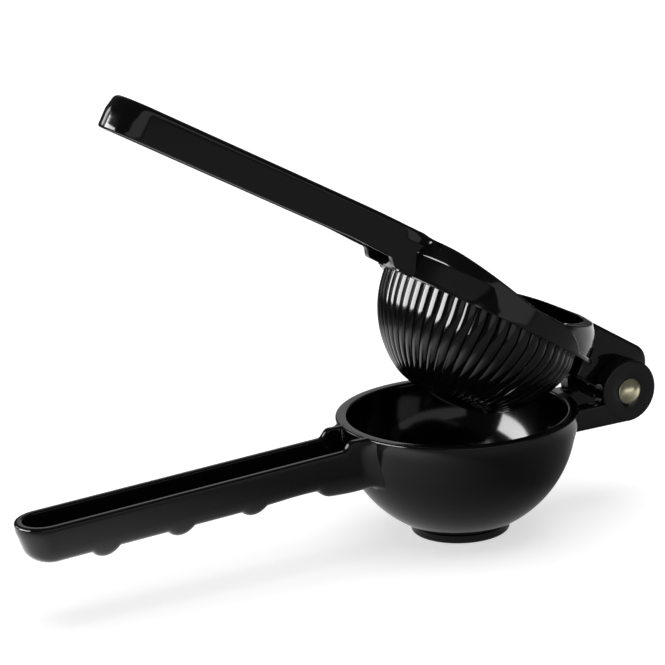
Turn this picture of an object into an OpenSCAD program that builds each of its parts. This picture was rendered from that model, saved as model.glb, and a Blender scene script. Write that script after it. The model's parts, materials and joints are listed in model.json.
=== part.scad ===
// Hinged lemon squeezer. Both arms are drawn closed about the bowl's axis; the upper one is then
// turned open about the hinge. X runs along the tool towards the hinge, Z is up, millimetres.

/* [Bowl] */
// Height of the rim above the table
rim_h = 35.8; // [30:0.05:46]
// Outer diameter of the ball-shaped bowl wall
bowl_d = 68.7; // [58:0.1:88]
// How far the rim stands out from the ball-shaped wall
rim_out = 0.75; // [0.4:0.05:2]
// Height from the centre of the ball up to the rim
rim_rise = 1.85; // [1:0.05:4]
// Thickness of the bowl wall
bowl_wall = 2.45; // [1.8:0.05:3.5]
// Height of the thickened rim band
rim_band_h = 4.75; // [3:0.05:8]
// Rounding of the rim's outer edge
rim_round = 0.9; // [0.3:0.1:1.2]
// Thickness of the flat floor with the drain holes
floor_t = 2.4; // [2:0.1:4]

/* [Foot and drain] */
// Outer diameter of the foot ring on the table
foot_d = 28.8; // [24:0.2:40]
// Diameter of the foot ring where it meets the bowl
foot_neck_d = 28; // [23:0.2:39]
// Rounding of the foot's bottom edge
foot_round = 1; // [0.3:0.1:1.5]
// Width of the foot ring
foot_ring_w = 2.6; // [2:0.1:5]
// Height of the recess inside the foot ring
foot_recess = 1.6; // [1:0.1:3]
// Diameter of each drain hole
drain_d = 3.6; // [2.5:0.1:4.5]
// Drain holes around the centre one
drain_n = 6; // [5:1:8]
// Radius of the ring of drain holes
drain_ring_r = 6.5; // [5:0.1:8.5]

/* [Handles] */
// Width of both channel handles
handle_w = 16.66; // [13:0.02:22]
// Depth of the lower channel handle
lower_depth = 10.5; // [8:0.1:14]
// Depth of the upper channel handle
upper_depth = 9.65; // [7:0.05:13]
// Thickness of the channel's side walls
handle_wall = 2.3; // [1.8:0.1:3.5]
// Thickness of the channel's web
handle_web = 2.4; // [2:0.1:4]
// How far both handles droop towards their ends, in degrees
handle_droop = 2.44; // [0:0.01:6]
// Distance from the bowl's axis to where the handles' heights are measured
handle_root_x = 35; // [30:0.5:45]
// Length of the lower handle beyond that point
lower_len = 102; // [80:1:140]
// Length of the upper handle beyond that point
upper_len = 98.3; // [75:0.1:135]
// Height of the lower handle's rim below the bowl's rim
lower_drop = 2.17; // [1.5:0.01:6]
// Height of the upper handle's top above the bowl's rim
upper_rise = 13.4; // [11:0.05:18]
// How much wider each side of the handles' roots is than the handles
root_step = 0.15; // [0.1:0.05:0.5]
// Rounding along the lower handle's bottom edges
lower_round = 3; // [1:0.1:3.5]
// Rounding along the upper handle's top edges
upper_round = 1.4; // [0.5:0.1:3]
// Rounding of the open edges of both channels
lip_round = 0.6; // [0.2:0.1:1]
// Slope of both handles' ends, in degrees
end_draft = 16; // [0:0.5:20]
// How far below its rim the lower handle's end begins to slope
lower_straight = 2; // [0.5:0.1:4]
// How far below its top the upper handle's end stops sloping
upper_slope_h = 4.5; // [1:0.1:6]
// Thickness of the wall at the lower handle's end
end_wall = 3.6; // [2.5:0.1:6]

/* [Finger bumps] */
// Distance from the bowl's axis to the outermost bump
bump_x = 114.5; // [90:0.1:125]
// Spacing of the bumps
bump_pitch = 22.34; // [16:0.02:26]
// Radius of each bump's back
bump_r = 4.8; // [4:0.05:8]
// How far the outermost bump stands out below the handle
bump_out = 2.1; // [1:0.1:3]
// How much less each bump stands out than the one before
bump_fade = 0.2; // [0:0.05:0.5]
// How far the deep root by the bowl reaches below the handle
root_out = 2.8; // [1:0.1:4]
// Distance from the bowl's axis to the deep root's outer end
root_end = 50.8; // [42:0.1:60]

/* [Dome] */
// Gap between the pressing dome's radius and the radius inside the bowl
dome_gap = 1.65; // [1:0.05:4]
// Height of the dome's centre above the flange's underside
dome_rise = 2.3; // [0:0.1:3]
// Thickness of the dome's wall
dome_wall = 2.7; // [2:0.1:4]
// Number of flutes
flute_n = 54; // [36:1:60]
// Depth of each flute at its deepest
flute_h = 0.8; // [0.4:0.05:1]
// Radius of a flute's hollow
flute_r = 1.1; // [0.8:0.05:1.4]
// Angle below the flange at which the flutes are deepest
flute_mid = 15; // [10:1:30]
// Angle below the flange at which the flutes fade out
flute_end = 75; // [60:1:78]
// How much the dome is flattened at its pole
pole_flat = 1.2; // [0.8:0.1:2]
// Radius of the flattened pole
pole_r = 45; // [38:1:60]

/* [Cup wall] */
// Gap between the closed flange and the bowl's rim
close_gap = 0.3; // [0.2:0.05:0.8]
// Thickness of the flange where the wall stands back
flange_t = 1.3; // [1:0.1:2.5]
// Lowest height of the cup's rim above the flange's underside
saddle_h = 6.2; // [4:0.1:8]
// Radius of the saddle that cuts the cup's rim
saddle_r = 66; // [60:1:100]
// Distance of the saddle's lowest point from the bowl's axis, towards the hinge
saddle_x = 0; // [-4:0.5:6]
// Greatest height of the wall beside the handle above the flange's underside
skirt_h = 12; // [9:0.1:13]
// Greatest height of the wall by the hinge above the flange's underside
cup_h = 12.45; // [9:0.1:13]
// How far the wall by the hinge stands back from the flange's edge
cup_set = 1; // [0.8:0.1:3]
// Radius of that wall's barrel curve
cup_curve_r = 12.15; // [10:0.05:16]
// Height of the barrel's widest point above the flange
cup_curve_h = 2.5; // [1:0.1:4]
// Thickness of the cup's wall
cup_wall = 2.6; // [2:0.1:4]
// Where the outer skirt starts to fall towards the hinge
skirt_x = 2; // [-4:0.5:6]
// Length over which the skirt falls away
skirt_fall = 14; // [8:0.5:16]
// Radius of the hollow between the handle's side and the skirt
flare_r = 8; // [5:0.5:14]
// Height of the root's lower edge above the flange's underside
root_lift = 0.95; // [0.5:0.05:2]

/* [Hinge] */
// Distance from the bowl's axis to the hinge pin
hinge_x = 52.2; // [46:0.1:66]
// Height of the hinge pin below the bowl's rim
hinge_drop = 0.95; // [-1:0.05:3]
// Radius of the ears round the pin
ear_r = 9.25; // [8:0.05:12]
// Thickness of each ear
ear_t = 4.9; // [3:0.1:6]
// Width of the knuckle between the ears
knuckle_w = 12.6; // [9:0.1:16]
// Gap between the knuckle and each ear
side_gap = 0.45; // [0.3:0.05:0.8]
// Radius of the knuckle round the pin
knuckle_r = 6; // [5.5:0.1:9]
// Height of the knuckle's top above the flange's underside
knuckle_h = 12.2; // [11:0.05:16]
// Rounding of the knuckle's top corner
knuckle_round = 6; // [3:0.1:7]
// Height of the ears' webs where they meet the bowl
ear_web_h = 6.8; // [5:0.1:9]
// Height of the webs' underside below the pin at the bowl
ear_web_drop = 9.3; // [8:0.1:12]

/* [Pin] */
// Diameter of the hinge pin's shank
pin_d = 5; // [4:0.1:6]
// Radial clearance of the pin in the knuckle
pin_clear = 0.05; // [0.03:0.01:0.1]
// Diameter of the domed head
head_d = 7.5; // [6.5:0.1:10]
// Height of the domed head
head_h = 2.2; // [1.2:0.1:3]
// Diameter of the formed head on the far side
tail_d = 7; // [6.2:0.1:9]
// Height of the formed head on the far side
tail_h = 1.2; // [0.8:0.1:2]

/* [Pose] */
// How far the upper arm stands open, in degrees
open_angle = 31.78; // [0:0.01:100]

/* [Hidden] */
$fn = 72;
over = 1;
half_w = handle_w / 2;
root_w = handle_w + 2 * root_step;
rim_d = bowl_d + 2 * rim_out;
ball_z = rim_h - rim_rise;
bowl_in_r = bowl_d / 2 - bowl_wall;
floor_z = foot_recess + floor_t;
neck_z = ball_z - sqrt(pow(bowl_d / 2, 2) - pow(foot_neck_d / 2, 2));
lower_top = rim_h - lower_drop;
upper_top = rim_h + upper_rise;
root_z = lower_top - lower_depth - root_out;
flange_z = rim_h + close_gap;
flange_d = rim_d;
cup_d = flange_d - 2 * cup_set;
dome_z = flange_z + dome_rise;
dome_r = bowl_in_r - dome_gap;
hinge_z = rim_h - hinge_drop;
ear_in = knuckle_w / 2 + side_gap;
ear_out = ear_in + ear_t;
flute_c = flute_h / (1 - cos(flute_end - flute_mid));
flute_path = dome_r + flute_r - flute_h + flute_c;
flare_x = sqrt(pow(flange_d / 2 + flare_r, 2) - pow(half_w + flare_r, 2));
flare_cos = flare_x / (flange_d / 2 + flare_r);
skirt_r = (pow(skirt_fall, 2) + pow(saddle_h, 2)) / (2 * saddle_h);
end_x = handle_root_x + (lower_len - lip_round) * cos(handle_droop) - lip_round * sin(handle_droop) + lip_round;
bowl_x = (end_x - hinge_x - ear_r) / 2;

// A square with two corner roundings at its lower edge and two at its upper edge.
module rounded(w, z0, z1, low_r, high_r) {
  translate([-w / 2 + low_r, z0])
    square([w - 2 * low_r, low_r]);
  translate([-w / 2 + high_r, z1 - high_r])
    square([w - 2 * high_r, high_r]);
  translate([-w / 2, z0 + low_r])
    square([w, z1 - z0 - low_r - high_r]);
  for (s = [-1, 1]) {
    translate([s * (w / 2 - low_r), z0 + low_r])
      circle(r = low_r);
    translate([s * (w / 2 - high_r), z1 - high_r])
      circle(r = high_r);
  }
}

// A bar along -X that starts at x = start and ends in a half round in plan.
module bar(w, z0, z1, low_r, high_r, start, len) {
  translate([-len + w / 2, 0, 0])
    rotate([90, 0, 90])
      linear_extrude(height = len - w / 2 + start)
        rounded(w, z0, z1, low_r, high_r);
  translate([-len + w / 2, 0, 0])
    rotate_extrude()
      intersection() {
        rounded(w, z0, z1, low_r, high_r);
        translate([0, z0 - over])
          square([w, z1 - z0 + 2 * over]);
      }
}

module lower_frame() {
  translate([-handle_root_x, 0, lower_top])
    rotate([0, -handle_droop, 0])
      children();
}

module upper_frame() {
  translate([-handle_root_x, 0, upper_top])
    rotate([0, -handle_droop, 0])
      children();
}

// A flat profile in X and Z, as thick as w and centred on y = 0.
module side(w) {
  translate([0, w / 2, 0])
    rotate([90, 0, 0])
      linear_extrude(height = w)
        children();
}

module bowl_shell() {
  intersection() {
    translate([0, 0, ball_z])
      sphere(r = bowl_d / 2);
    cylinder(r = rim_d, h = rim_h);
  }
  rotate_extrude() {
    polygon([
      [rim_d / 2 - 3, rim_h - rim_band_h],
      [sqrt(pow(bowl_d / 2, 2) - pow(rim_band_h - rim_rise, 2)) - 0.1, rim_h - rim_band_h],
      [rim_d / 2, rim_h - rim_band_h * 0.42],
      [rim_d / 2, rim_h - rim_round],
      [rim_d / 2 - 3, rim_h - rim_round]
    ]);
    translate([rim_d / 2 - 3, rim_h - 2 * rim_round])
      square([3 - rim_round, 2 * rim_round]);
    translate([rim_d / 2 - rim_round, rim_h - rim_round])
      circle(r = rim_round);
  }
  translate([0, 0, foot_round])
    cylinder(r1 = foot_d / 2, r2 = foot_neck_d / 2, h = neck_z - foot_round + 0.3);
  rotate_extrude() {
    square([foot_d / 2 - foot_round, foot_round]);
    translate([foot_d / 2 - foot_round, foot_round])
      circle(r = foot_round);
  }
}

module bowl_inside() {
  intersection() {
    translate([0, 0, ball_z])
      sphere(r = bowl_in_r);
    translate([0, 0, floor_z])
      cylinder(r = rim_d, h = rim_h);
  }
}

module drain_holes() {
  translate([0, 0, -over])
    cylinder(r = foot_d / 2 - foot_ring_w, h = foot_recess + over);
  translate([0, 0, -over])
    cylinder(d = drain_d, h = ball_z);
  for (i = [0 : drain_n - 1])
    rotate([0, 0, (i + 0.5) * 360 / drain_n])
      translate([drain_ring_r, 0, -over])
        cylinder(d = drain_d, h = ball_z);
}

module lower_handle() {
  lower_frame()
    difference() {
      bar(handle_w, -lower_depth, 0, lower_round, lip_round, handle_root_x / 2, lower_len);
      translate([-lower_len, 0, -lower_straight])
        rotate([0, -end_draft, 0])
          translate([-handle_w, -handle_w, -2 * lower_depth])
            cube([handle_w, 2 * handle_w, 2 * lower_depth]);
    }
  for (i = [0 : 2])
    intersection() {
      lower_frame()
        translate([-(bump_x - handle_root_x - i * bump_pitch), handle_w, bump_r - lower_depth - bump_out + i * bump_fade])
          rotate([90, 0, 0])
            cylinder(r = bump_r, h = 2 * handle_w);
      lower_frame()
        bar(handle_w, -lower_depth - bump_out + i * bump_fade, -handle_web, lower_round, lip_round, 0, lower_len);
    }
  intersection() {
    side(2 * handle_w) {
      translate([bump_r - root_end, root_z + bump_r])
        circle(r = bump_r);
      translate([bump_r - root_end, root_z])
        square([root_end - bump_r, lower_top - root_z - 3]);
      translate([-(handle_root_x + 3), lower_top - 6])
        square([handle_root_x + 3, rim_h - lower_top + 6]);
      translate([-(handle_root_x + 3), rim_h - lower_drop * 0.6])
        circle(r = lower_drop * 0.6);
      translate([-(handle_root_x + 5), lower_top - 6])
        square([4, 6]);
    }
    bar(root_w, root_z, rim_h, lower_round, lip_round, 0, 2 * handle_root_x);
  }
}

module lower_channel() {
  lower_frame()
    bar(
      handle_w - 2 * handle_wall,
      -lower_depth + handle_web,
      lower_depth,
      lower_round / 2,
      lip_round,
      handle_root_x / 2,
      lower_len - end_wall
    );
}

module ear_web() {
  side(2 * ear_out)
    polygon([
      [0, hinge_z - ear_web_drop],
      [hinge_x, hinge_z - ear_r],
      [hinge_x, hinge_z],
      [hinge_x - ear_r * 0.9, hinge_z - ear_web_drop + ear_web_h],
      [0, hinge_z - ear_web_drop + ear_web_h]
    ]);
  translate([hinge_x, ear_out, hinge_z])
    rotate([90, 0, 0])
      cylinder(r = ear_r, h = 2 * ear_out);
}

module lower_arm() {
  color("#1b1b1d")
    difference() {
      union() {
        difference() {
          union() {
            lower_handle();
            difference() {
              ear_web();
              translate([rim_d / 2, -ear_in, 0])
                cube([hinge_x, 2 * ear_in, 2 * rim_h]);
            }
          }
          lower_channel();
        }
        bowl_shell();
      }
      bowl_inside();
      drain_holes();
      translate([hinge_x, ear_out + over, hinge_z])
        rotate([90, 0, 0])
          cylinder(d = pin_d, h = 2 * ear_out + 2 * over);
    }
}

module hinge_pin() {
  color("#d6cfae")
    translate([hinge_x, 0, hinge_z])
      rotate([90, 0, 0])
        rotate_extrude() {
          translate([0, -ear_out])
            square([pin_d / 2, 2 * ear_out]);
          intersection() {
            translate([0, ear_out + head_h - (pow(head_d / 2, 2) + pow(head_h, 2)) / (2 * head_h)])
              circle(r = (pow(head_d / 2, 2) + pow(head_h, 2)) / (2 * head_h));
            translate([0, ear_out])
              square([head_d, head_h]);
          }
          intersection() {
            translate([0, -ear_out - tail_h + (pow(tail_d / 2, 2) + pow(tail_h, 2)) / (2 * tail_h)])
              circle(r = (pow(tail_d / 2, 2) + pow(tail_h, 2)) / (2 * tail_h));
            translate([0, -ear_out - tail_h])
              square([tail_d, tail_h]);
          }
        }
}

module dome() {
  difference() {
    intersection() {
      translate([0, 0, dome_z])
        sphere(r = dome_r);
      translate([0, 0, dome_z - dome_r + pole_flat + pole_r])
        sphere(r = pole_r);
      translate([0, 0, dome_z - 2 * dome_r])
        cylinder(r = flange_d, h = 2 * dome_r - dome_rise + flange_t / 2);
    }
    for (i = [0 : flute_n - 1])
      rotate([0, 0, (i + 0.5) * 360 / flute_n])
        translate([-flute_c * cos(flute_mid), 0, dome_z + flute_c * sin(flute_mid)])
          rotate([90, 0, 0])
            rotate([0, 0, -flute_end - 3])
              rotate_extrude(angle = flute_end + 3)
                translate([flute_path, 0])
                  circle(r = flute_r, $fn = 24);
  }
}

// The hollow on each side where the handle runs into the skirt, down to the root's lower edge.
module flare() {
  translate([0, 0, flange_z + root_lift])
    linear_extrude(height = skirt_h - root_lift)
      difference() {
        translate([-flare_x, -half_w - flare_r])
          square([flare_x - flange_d / 2 * flare_cos + over, handle_w + 2 * flare_r]);
        for (s = [-1, 1])
          translate([-flare_x, s * (half_w + flare_r)])
            circle(r = flare_r);
      }
}

module skirt() {
  intersection() {
    translate([0, 0, flange_z])
      cylinder(d = flange_d, h = skirt_h);
    side(2 * flange_d) {
      translate([-flange_d, flange_z])
        square([flange_d + skirt_x, upper_rise]);
      intersection() {
        translate([skirt_x, flange_z + saddle_h - skirt_r])
          circle(r = skirt_r);
        translate([skirt_x - over, flange_z])
          square([skirt_fall + 2 * over, saddle_h]);
      }
    }
  }
}

module cup_profile(r) {
  square([r, cup_curve_h]);
  intersection() {
    translate([r - cup_curve_r, cup_curve_h])
      circle(r = cup_curve_r);
    square([r, cup_curve_h + cup_curve_r]);
  }
  square([r - cup_curve_r, cup_curve_h + cup_curve_r]);
}

module upper_handle() {
  upper_frame()
    difference() {
      bar(handle_w, -upper_depth, 0, lip_round, upper_round, handle_root_x / 2, upper_len);
      translate([-upper_len, 0, -upper_slope_h])
        rotate([0, end_draft, 0])
          translate([-handle_w, -handle_w, 0])
            cube([handle_w, 2 * handle_w, 2 * upper_depth]);
    }
  translate([-(handle_root_x + 2.5), -root_w / 2, flange_z + root_lift])
    cube([handle_root_x, root_w, upper_rise - 3]);
}

module upper_channel() {
  upper_frame()
    bar(
      handle_w - 2 * handle_wall,
      -3 * upper_depth,
      -handle_web,
      lip_round,
      upper_round,
      handle_root_x / 2,
      upper_len - handle_wall
    );
}

module knuckle() {
  side(knuckle_w) {
    translate([hinge_x, hinge_z])
      circle(r = knuckle_r);
    translate([dome_r - 4, flange_z])
      square([hinge_x + knuckle_r - knuckle_round - dome_r + 4, knuckle_h]);
    translate([hinge_x, hinge_z])
      square([knuckle_r, flange_z - hinge_z + knuckle_h - knuckle_round]);
    translate([hinge_x + knuckle_r - knuckle_round, flange_z + knuckle_h - knuckle_round])
      circle(r = knuckle_round);
  }
}

module upper_arm_closed() {
  difference() {
    union() {
      difference() {
        union() {
          difference() {
            union() {
              upper_handle();
              flare();
            }
            upper_channel();
          }
          skirt();
          translate([0, 0, flange_z])
            rotate_extrude()
              cup_profile(cup_d / 2);
        }
        translate([saddle_x, flange_d, flange_z + saddle_h + saddle_r])
          rotate([90, 0, 0])
            cylinder(r = saddle_r, h = 2 * flange_d, $fn = 180);
        translate([0, -flange_d, flange_z + cup_h])
          cube([flange_d, 2 * flange_d, upper_rise]);
      }
      knuckle();
      translate([0, 0, flange_z])
        cylinder(d = flange_d, h = flange_t);
      dome();
    }
    translate([0, 0, dome_z])
      sphere(r = dome_r - dome_wall);
    intersection() {
      translate([0, 0, flange_z])
        rotate_extrude()
          cup_profile(cup_d / 2 - cup_wall);
      translate([0, 0, flange_z + cup_wall])
        cylinder(d = flange_d, h = 2 * upper_rise);
    }
    intersection() {
      translate([0, 0, flange_z + cup_wall])
        cylinder(r = cup_d / 2 - cup_wall, h = 2 * upper_rise);
      translate([-flange_d, -flange_d, 0])
        cube([flange_d + skirt_x, 2 * flange_d, 3 * rim_h]);
    }
    translate([hinge_x, knuckle_w, hinge_z])
      rotate([90, 0, 0])
        cylinder(d = pin_d + 2 * pin_clear, h = 2 * knuckle_w);
  }
}

module upper_arm() {
  color("#1b1b1d")
    translate([hinge_x, 0, hinge_z])
      rotate([0, open_angle, 0])
        translate([-hinge_x, 0, -hinge_z])
          upper_arm_closed();
}

translate([bowl_x, 0, 0]) {
  lower_arm();
  hinge_pin();
  upper_arm();
}
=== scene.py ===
"""Visual model of a hinged lemon squeezer on a pale floor.

Shapes are worked out in millimetres about the bowl's axis, with both arms closed, and are put
into the frame at the end, the upper arm turned open about the hinge. A size that is a pair says
where a smooth step starts and where it ends.
"""

import json
import math

import bmesh
import bpy
from bpy.props import FloatProperty, FloatVectorProperty, IntProperty, PointerProperty
from mathutils import Matrix, Vector


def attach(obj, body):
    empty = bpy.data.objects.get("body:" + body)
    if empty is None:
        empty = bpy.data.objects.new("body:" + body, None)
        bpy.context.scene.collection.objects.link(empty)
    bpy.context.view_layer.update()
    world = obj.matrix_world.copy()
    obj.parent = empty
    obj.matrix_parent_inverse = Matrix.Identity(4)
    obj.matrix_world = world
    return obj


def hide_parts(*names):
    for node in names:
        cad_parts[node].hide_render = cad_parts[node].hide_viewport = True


bl_info = {
    "name": "Hinged lemon squeezer",
    "version": (1, 0, 0),
    "blender": (4, 5, 0),
    "location": "3D View > Sidebar > Squeezer",
    "description": "Builds a cast lemon squeezer with a fluted dome and a strainer bowl",
    "category": "Object",
}

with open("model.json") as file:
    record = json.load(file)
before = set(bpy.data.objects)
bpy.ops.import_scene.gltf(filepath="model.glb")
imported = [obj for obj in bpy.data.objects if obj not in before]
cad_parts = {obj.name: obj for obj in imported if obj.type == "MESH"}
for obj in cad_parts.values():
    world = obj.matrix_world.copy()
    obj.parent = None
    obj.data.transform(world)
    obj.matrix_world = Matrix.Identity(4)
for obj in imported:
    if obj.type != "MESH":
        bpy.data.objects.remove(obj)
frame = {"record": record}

MM = 0.001
FULL_TURN = 2 * math.pi

# How far a face stands off one that it would otherwise lie in
PROUD = 0.02

# Hinge: its axis, and how far the upper arm is open at rest
HINGE_X = 52.2
HINGE_Z = 34.85
JOINT = frame["record"]["behaviour"]["joints"][0]
BOWL_X = JOINT["pos_m"][0] / MM - HINGE_X
OPEN = -math.radians(JOINT["range_deg"][0])

# Bowl: a ball's outside and inside, widened to the rim
RIM_Z = 35.8
RIM_R = 35.1
RIM_EDGE = 0.5
RIM_LIP = 0.6
RIM_FLARE_Z = 26.0
RIM_FLARE_END = 1.5
BALL_Z = 33.95
BALL_R = 34.35
BOWL_IN_R = 31.9
FLOOR_Z = 4.0
BOWL_STEPS = 192

# Foot ring and drain holes
FOOT_R = 14.4
FOOT_EDGE = 1.0
NECK_R = 14.0
WALL_START_Z = 2.55
RECESS_R = 11.8
RECESS_Z = 1.6
PLATE_R = 9.2
DRAIN_R = 1.8
DRAIN_EDGE = 0.25
DRAIN_RING_R = 6.5
DRAIN_STEPS = 40

# Both handles: channels with half-round sloping ends
HALF_W = 8.33
WALL = 2.3
WEB = 2.4
LIP_R = 0.6
INNER_LIP_R = 0.45
CORNER_R = 1.5
DROOP = math.radians(2.44)
END_SLOPE = math.tan(math.radians(16.0))
ROOT_X = -35.0
LIP_BAND = (-4.0, -0.3)
HANDLE_STEP = 0.45
END_STEPS = 28

# Lower handle: finger bumps, deep root, and the stretch that meets the bowl
LOWER_TOP = 33.63
LOWER_DEPTH = 10.5
LOWER_LEN = 102.0
LOWER_START = 2.0
LOWER_WEB_R = 3.0
LOWER_SLOPE_FROM = 2.0
UNDER_BAND = 3.0
NUB_R = 4.8
NUB_SOFT = 0.25
NUB_SINK = 0.06
NUB_FADE = 0.8
BUMP_X = -114.1
BUMP_PITCH = 22.34
BUMP_RISES = (2.1, 1.9, 1.7)
DEEP_ROOT_X = -45.2
DEEP_ROOT_RISE = 2.2
DEEP_ROOT_GAIN = 0.6
DEEP_ROOT_GAIN_X = (-50.0, -38.0)
HOLLOW_X = -55.0
HOLLOW_W = 9.0
HOLLOW_H = 0.5
STEP_UP_X = (-41.2, -38.0)
MEET_X = -43.0
MEET_LEN = 10.0
MEET_RIM_X = -33.4
MEET_RIM_H = 0.35
MEET_SINK = 0.2
MEET_SIDE_R = 4.2
MEET_FLOOR_R = 1.6

# Upper handle: the step down beside the cup, and the flare into its skirt
UPPER_TOP = 49.2
UPPER_DEPTH = 9.65
UPPER_LEN = 98.3
UPPER_START = 4.0
UPPER_WEB_R = 1.4
UPPER_SLOPE_FROM = -4.5
ROOT_TOP = 48.72
ROOT_SOFT = 0.3
ROOT_WALLS = 0.6
ROOT_WALLS_X = (-56.0, -40.0)
ROOT_WALLS_BAND = (-5.0, -0.3)
STEP_DOWN_X = (-40.4, -37.4)
STEP_DOWN_H = 0.4
STEP_DOWN_LIP = -1.2
FLARE_X = -39.9
FLARE_R = 8.0
FLARE_FADE = 0.95
FLARE_BAND = (-8.0, -1.0)
LID_X = -36.0
LID_SINK = 0.05
LID_SOFT = 0.1

# Cup: flange, skirt, saddle-shaped rim and barrel-shaped wall
FLANGE_Z = 36.1
FLANGE_R = 35.1
FLANGE_T = 1.3
FLANGE_EDGE = 0.2
SADDLE_H = 6.2
SADDLE_FLAT = 6.0
SADDLE_SOFT = 0.6
HINGE_RISE = 0.29
HINGE_CAP = 12.45
HINGE_CAP_SOFT = 0.5
HANDLE_RISE = 0.25
HANDLE_CAP = 12.05
PEAK_X = -35.3
PEAK_W = 1.5
PEAK_H = 0.8
CUP_R = 34.1
CUP_CURVE = 12.15
CUP_CURVE_H = 2.5
CUP_WALL = 2.6
CUP_EDGE = 0.5
CUP_STEPS = 360
SKIRT_X = 2.0
SKIRT_FALL = 14.0
UNDERCUT = 3.6
UNDERCUT_H = 7.0
UNDERCUT_SOFT = 0.1
UNDERCUT_FROM = (9.0, 14.0)
UNDERCUT_TO = (46.0, 68.0)

# Dome: a fluted ball with a flattened pole
DOME_R = 30.25
DOME_RISE = 2.3
DOME_WALL = 2.7
DOME_START = -2.0
DOME_RINGS = 62
DOME_FULLER = 0.55
DOME_FULLER_FROM = (2.0, 14.0)
DOME_SHIFT = 0.7
DOME_SHIFT_TO = (60.0, 90.0)
POLE_FLAT = 1.2
POLE_R = 45.0
POLE_SOFT = 0.25
FLUTES = 54
FLUTE_STEPS = 12
FLUTE_DEPTH = 0.8
FLUTE_CROWN = 0.55
FLUTE_TOP = 0.9
FLUTE_FROM = (-0.5, 3.5)
FLUTE_FADES = ((0.75, 30.0, 74.0), (0.25, 50.0, 78.0))
HOLLOW_STEPS = 128

# Ears, knuckle and rivet
EAR_R = 9.25
EAR_IN = 6.75
EAR_OUT = 11.65
EAR_EDGE = 0.55
EAR_STEPS = 72
EAR_WEB_TOP = 32.35
EAR_WEB_X = 52.0
EAR_WEB_EDGE = 0.6
EAR_WEB_INSET = 0.015
EAR_WEB_FILLET = 2.4
EAR_WEB_HALF_H = 3.4
EAR_WEB_SINK = 0.15
EAR_WEB_STEPS = 40
KNUCKLE_HALF = 6.3
KNUCKLE_R = 6.0
KNUCKLE_TOP = 48.3
KNUCKLE_TOP_R = 6.0
KNUCKLE_LOW = 31.9
KNUCKLE_FRONT = 36.2
KNUCKLE_FRONT_R = 1.0
KNUCKLE_IN = 30.6
KNUCKLE_EDGE = 0.8
PIN_R = 2.5
HEAD_R = 3.75
HEAD_H = 2.2
TAIL_R = 3.5
TAIL_H = 1.2
RIVET_STEPS = 64

SMOOTH_UNDER = 40.0
FLUTES_SMOOTH_UNDER = 30.0


# ---------------------------------------------------------------- building shapes


def place_closed(x, y, z):
    """A point of the lower arm, in the frame."""
    return Vector(((x + BOWL_X) * MM, y * MM, z * MM))


def place_open(x, y, z):
    """A point of the upper arm, given closed, in the frame with the arm open."""
    dx, dz = x - HINGE_X, z - HINGE_Z
    c, s = math.cos(OPEN), math.sin(OPEN)
    return place_closed(HINGE_X + dx * c + dz * s, y, HINGE_Z - dx * s + dz * c)


def shell(rows, cols, point, close_rows=False):
    """A bmesh skin: a chain of rows vertices, extruded on through cols stations.

    point(row, col) says where each vertex goes. Vertices that meet are merged.
    """
    bm = bmesh.new()
    tag = bm.verts.layers.int.new("row")
    chain = []
    for i in range(rows):
        v = bm.verts.new(point(i, 0))
        v[tag] = i
        chain.append(v)
    edges = [bm.edges.new((a, b)) for a, b in zip(chain, chain[1:])]
    if close_rows:
        edges.append(bm.edges.new((chain[-1], chain[0])))
    for j in range(1, cols):
        grown = bmesh.ops.extrude_edge_only(bm, edges=edges)["geom"]
        edges = [g for g in grown if isinstance(g, bmesh.types.BMEdge)]
        for v in grown:
            if isinstance(v, bmesh.types.BMVert):
                v.co = point(v[tag], j)
        edges = [e for e in edges if len(e.link_faces) == 1]
    bmesh.ops.remove_doubles(bm, verts=bm.verts, dist=0.004)
    return bm


def lathe(profile, steps):
    """A bmesh turned about the bowl's axis from (radius, height) points."""
    bm = bmesh.new()
    chain = [bm.verts.new((r, 0.0, z)) for r, z in profile]
    for a, b in zip(chain, chain[1:]):
        bm.edges.new((a, b))
    bmesh.ops.spin(
        bm,
        geom=bm.verts[:] + bm.edges[:],
        cent=(0, 0, 0),
        axis=(0, 0, 1),
        angle=FULL_TURN,
        steps=steps,
        use_merge=True,
    )
    bmesh.ops.remove_doubles(bm, verts=bm.verts, dist=0.002)
    return bm


def turned_y(profile, steps):
    """A bmesh turned about the hinge's axis from (radius, y) points."""
    bm = lathe(profile, steps)
    turn = Matrix.Rotation(math.radians(-90), 4, "X")
    bmesh.ops.transform(bm, matrix=turn, verts=bm.verts)
    bmesh.ops.translate(bm, vec=(HINGE_X, 0, HINGE_Z), verts=bm.verts)
    return bm


def arc(cx, cz, r, a0, a1, n):
    """Points on an arc in a profile, from angle a0 to a1 in degrees."""
    return [
        (cx + r * math.cos(math.radians(a)), cz + r * math.sin(math.radians(a)))
        for a in (a0 + (a1 - a0) * k / n for k in range(n + 1))
    ]


def line(p, q, n):
    """n + 1 points from p to q."""
    return [
        (p[0] + (q[0] - p[0]) * k / n, p[1] + (q[1] - p[1]) * k / n)
        for k in range(n + 1)
    ]


def path(*parts):
    """One chain of points from several, without repeats."""
    out = []
    for part in parts:
        for p in part:
            if not out or math.dist(out[-1], p) > 1e-4:
                out.append(p)
    return out


def clamp(x, low=0.0, high=1.0):
    """x, but not below low or above high."""
    return min(high, max(low, x))


def smooth(a, b, x):
    """0 below a, 1 above b, and a smooth step between."""
    t = clamp((x - a) / (b - a))
    return t * t * (3 - 2 * t)


def bell(x, middle, width):
    """1 at the middle, and smoothly down to nothing at about twice the width from it."""
    return math.exp(-(((x - middle) / width) ** 2))


def soft_max(a, b, k):
    """The larger of a and b, rounded over about k."""
    return 0.5 * (a + b + math.sqrt((a - b) ** 2 + k * k))


def soft_min(a, b, k):
    """The smaller of a and b, rounded over about k."""
    return -soft_max(-a, -b, k)


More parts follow.
